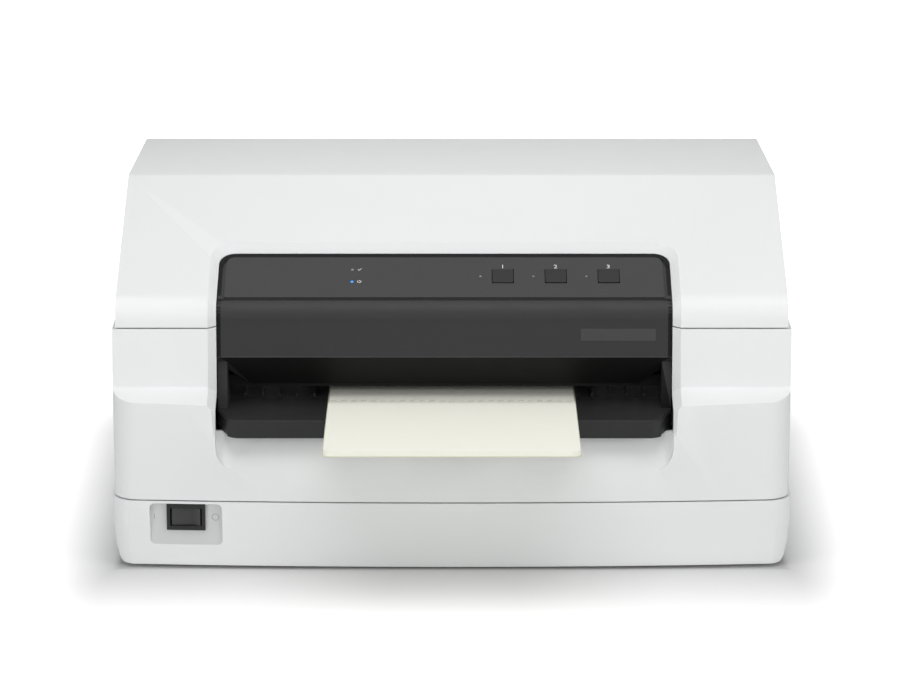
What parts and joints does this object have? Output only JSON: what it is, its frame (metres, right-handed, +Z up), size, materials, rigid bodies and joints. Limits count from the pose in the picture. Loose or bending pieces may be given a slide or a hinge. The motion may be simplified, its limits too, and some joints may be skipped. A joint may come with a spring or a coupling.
{
  "type": "flat-bed passbook printer",
  "caption": "Desktop impact printer with a hinged lid, a flat paper slot with a front tray, a control panel and a passbook fed in at the front.",
  "frame": {"origin": "on the table, under the middle of the whole outline, passbook included", "axes": "+X to the printer's right as seen from the front, +Y from front to back, +Z up"},
  "size_m": [0.388, 0.3536, 0.2029],
  "materials": {
    "case_plastic": "fine satin texture",
    "fascia_plastic": "satin",
    "panel_film": "satin film",
    "black_plastic": "satin",
    "ribbon_cloth": "inked cloth",
    "zinc_steel": "zinc plated",
    "ground_steel": "ground",
    "motor_metal": "satin",
    "head_metal": "cast and blackened",
    "bush_bronze": "sintered",
    "soft_rubber": "matt",
    "gear_plastic": "natural",
    "knob_plastic": "gloss",
    "board_green": "lacquered",
    "blue_lens": "clear",
    "pale_lens": "clear",
    "book_cover": "coated card",
    "book_pages": "plain paper"
  },
  "bodies": {
    "base": {"bottom_case": "case_plastic", "middle_case": "case_plastic", "hinge_pins": "zinc_steel", "front_fascia": "fascia_plastic", "control_panel": "panel_film", "panel_board": "board_green", "power_lens": "blue_lens", "ready_lens": "pale_lens", "key_lenses": "pale_lens", "front_tray": "black_plastic", "lower_paper_guide": "black_plastic", "front_upper_guide": "black_plastic", "rear_upper_guide": "black_plastic", "platen_bar": "soft_rubber", "gate_solenoid": "zinc_steel", "chassis_plate": "zinc_steel", "left_side_frame": "zinc_steel", "right_side_frame": "zinc_steel", "rear_beam": "zinc_steel", "shaft_bushes": "bush_bronze", "feed_motor": "motor_metal", "carriage_shaft": "ground_steel", "carriage_rail": "zinc_steel", "timing_belt": "black_plastic", "carriage_motor": "motor_metal", "main_board": "board_green", "power_supply": "zinc_steel", "switch_housing": "black_plastic", "power_inlet": "black_plastic", "connector_plate": "zinc_steel", "parallel_port": "zinc_steel", "rubber_feet": "soft_rubber", "case_screws": "zinc_steel"},
    "lid": {"top_cover": "case_plastic"},
    "left_key": {"left_key": "black_plastic"},
    "middle_key": {"middle_key": "black_plastic"},
    "right_key": {"right_key": "black_plastic"},
    "rocker": {"rocker_switch": "black_plastic"},
    "passbook": {"passbook_cover": "book_cover", "passbook_pages": "book_pages"},
    "gate": {"alignment_gate": "zinc_steel"},
    "front_lower_roller": {"front_lower_shaft": "ground_steel", "front_lower_sleeves": "soft_rubber", "front_lower_gear": "gear_plastic"},
    "rear_lower_roller": {"rear_lower_shaft": "ground_steel", "rear_lower_sleeves": "soft_rubber", "rear_lower_gear": "gear_plastic"},
    "front_upper_roller": {"front_upper_shaft": "ground_steel", "front_upper_sleeves": "soft_rubber"},
    "rear_upper_roller": {"rear_upper_shaft": "ground_steel", "rear_upper_sleeves": "soft_rubber"},
    "middle_gear": {"middle_gear": "gear_plastic"},
    "motor_pinion": {"motor_pinion": "gear_plastic"},
    "print_carriage": {"carriage": "black_plastic", "print_head": "head_metal", "ribbon_cartridge": "black_plastic", "ribbon_band": "ribbon_cloth"},
    "ribbon_knob": {"ribbon_knob": "knob_plastic"},
    "drive_pulley": {"drive_pulley": "gear_plastic"},
    "idler_pulley": {"idler_pulley": "gear_plastic"}
  },
  "joints": [
    {"name": "lid_hinge", "type": "hinge", "parent": "base", "child": "lid", "pos_m": [0, 0.1738, 0.138], "axis": [-1, 0, 0], "range_deg": [0, 70]},
    {"name": "carriage_slide", "type": "slide", "parent": "base", "child": "print_carriage", "axis": [1, 0, 0], "range_m": [-0.1, 0.1]},
    {"name": "drive_pulley_spin", "type": "hinge", "parent": "base", "child": "drive_pulley", "pos_m": [0.12, 0.0568, 0.128], "axis": [0, 1, 0], "range_deg": [-665, 665]},
    {"name": "idler_pulley_spin", "type": "hinge", "parent": "base", "child": "idler_pulley", "pos_m": [-0.12, 0.0568, 0.128], "axis": [0, 1, 0], "range_deg": [-665, 665]},
    {"name": "ribbon_knob_spin", "type": "hinge", "parent": "print_carriage", "child": "ribbon_knob", "pos_m": [0.019, 0.0388, 0.14], "axis": [0, 0, 1], "continuous": true},
    {"name": "front_lower_roller_spin", "type": "hinge", "parent": "base", "child": "front_lower_roller", "pos_m": [0, -0.0182, 0.0825], "axis": [1, 0, 0], "continuous": true},
    {"name": "rear_lower_roller_spin", "type": "hinge", "parent": "base", "child": "rear_lower_roller", "pos_m": [0, 0.04648, 0.0825], "axis": [1, 0, 0], "continuous": true},
    {"name": "front_upper_roller_spin", "type": "hinge", "parent": "base", "child": "front_upper_roller", "pos_m": [0, -0.0182, 0.1021], "axis": [1, 0, 0], "continuous": true},
    {"name": "rear_upper_roller_spin", "type": "hinge", "parent": "base", "child": "rear_upper_roller", "pos_m": [0, 0.04648, 0.1021], "axis": [1, 0, 0], "continuous": true},
    {"name": "middle_gear_spin", "type": "hinge", "parent": "base", "child": "middle_gear", "pos_m": [0, 0.01414, 0.0825], "axis": [1, 0, 0], "continuous": true},
    {"name": "motor_pinion_spin", "type": "hinge", "parent": "base", "child": "motor_pinion", "pos_m": [0, 0.01414, 0.05408], "axis": [1, 0, 0], "continuous": true},
    {"name": "gate_lift", "type": "slide", "parent": "base", "child": "gate", "axis": [0, 0, -1], "range_m": [0, 0.0085], "stiffness_N_per_m": 200, "springref_m": -0.008},
    {"name": "passbook_feed", "type": "slide", "parent": "base", "child": "passbook", "axis": [0, -1, 0], "range_m": [0, 0.215]},
    {"name": "left_key_press", "type": "slide", "parent": "base", "child": "left_key", "axis": [0, 0.4226, -0.9063], "range_m": [0, 0.0012], "stiffness_N_per_m": 250, "springref_m": -0.001},
    {"name": "middle_key_press", "type": "slide", "parent": "base", "child": "middle_key", "axis": [0, 0.4226, -0.9063], "range_m": [0, 0.0012], "stiffness_N_per_m": 250, "springref_m": -0.001},
    {"name": "right_key_press", "type": "slide", "parent": "base", "child": "right_key", "axis": [0, 0.4226, -0.9063], "range_m": [0, 0.0012], "stiffness_N_per_m": 250, "springref_m": -0.001},
    {"name": "power_rocker", "type": "hinge", "parent": "base", "child": "rocker", "pos_m": [-0.15092, -0.09392, 0.0332], "axis": [0, 0, 1], "range_deg": [0, 9]}
  ],
  "couplings": [
    {"joint": "drive_pulley_spin", "follows": "carriage_slide", "rad_per_m": -114.94},
    {"joint": "idler_pulley_spin", "follows": "carriage_slide", "rad_per_m": -114.94},
    {"joint": "rear_lower_roller_spin", "follows": "front_lower_roller_spin", "ratio": 1},
    {"joint": "front_upper_roller_spin", "follows": "front_lower_roller_spin", "ratio": -1},
    {"joint": "rear_upper_roller_spin", "follows": "front_lower_roller_spin", "ratio": -1},
    {"joint": "middle_gear_spin", "follows": "front_lower_roller_spin", "ratio": -0.43478},
    {"joint": "motor_pinion_spin", "follows": "front_lower_roller_spin", "ratio": 1.6667}
  ]
}
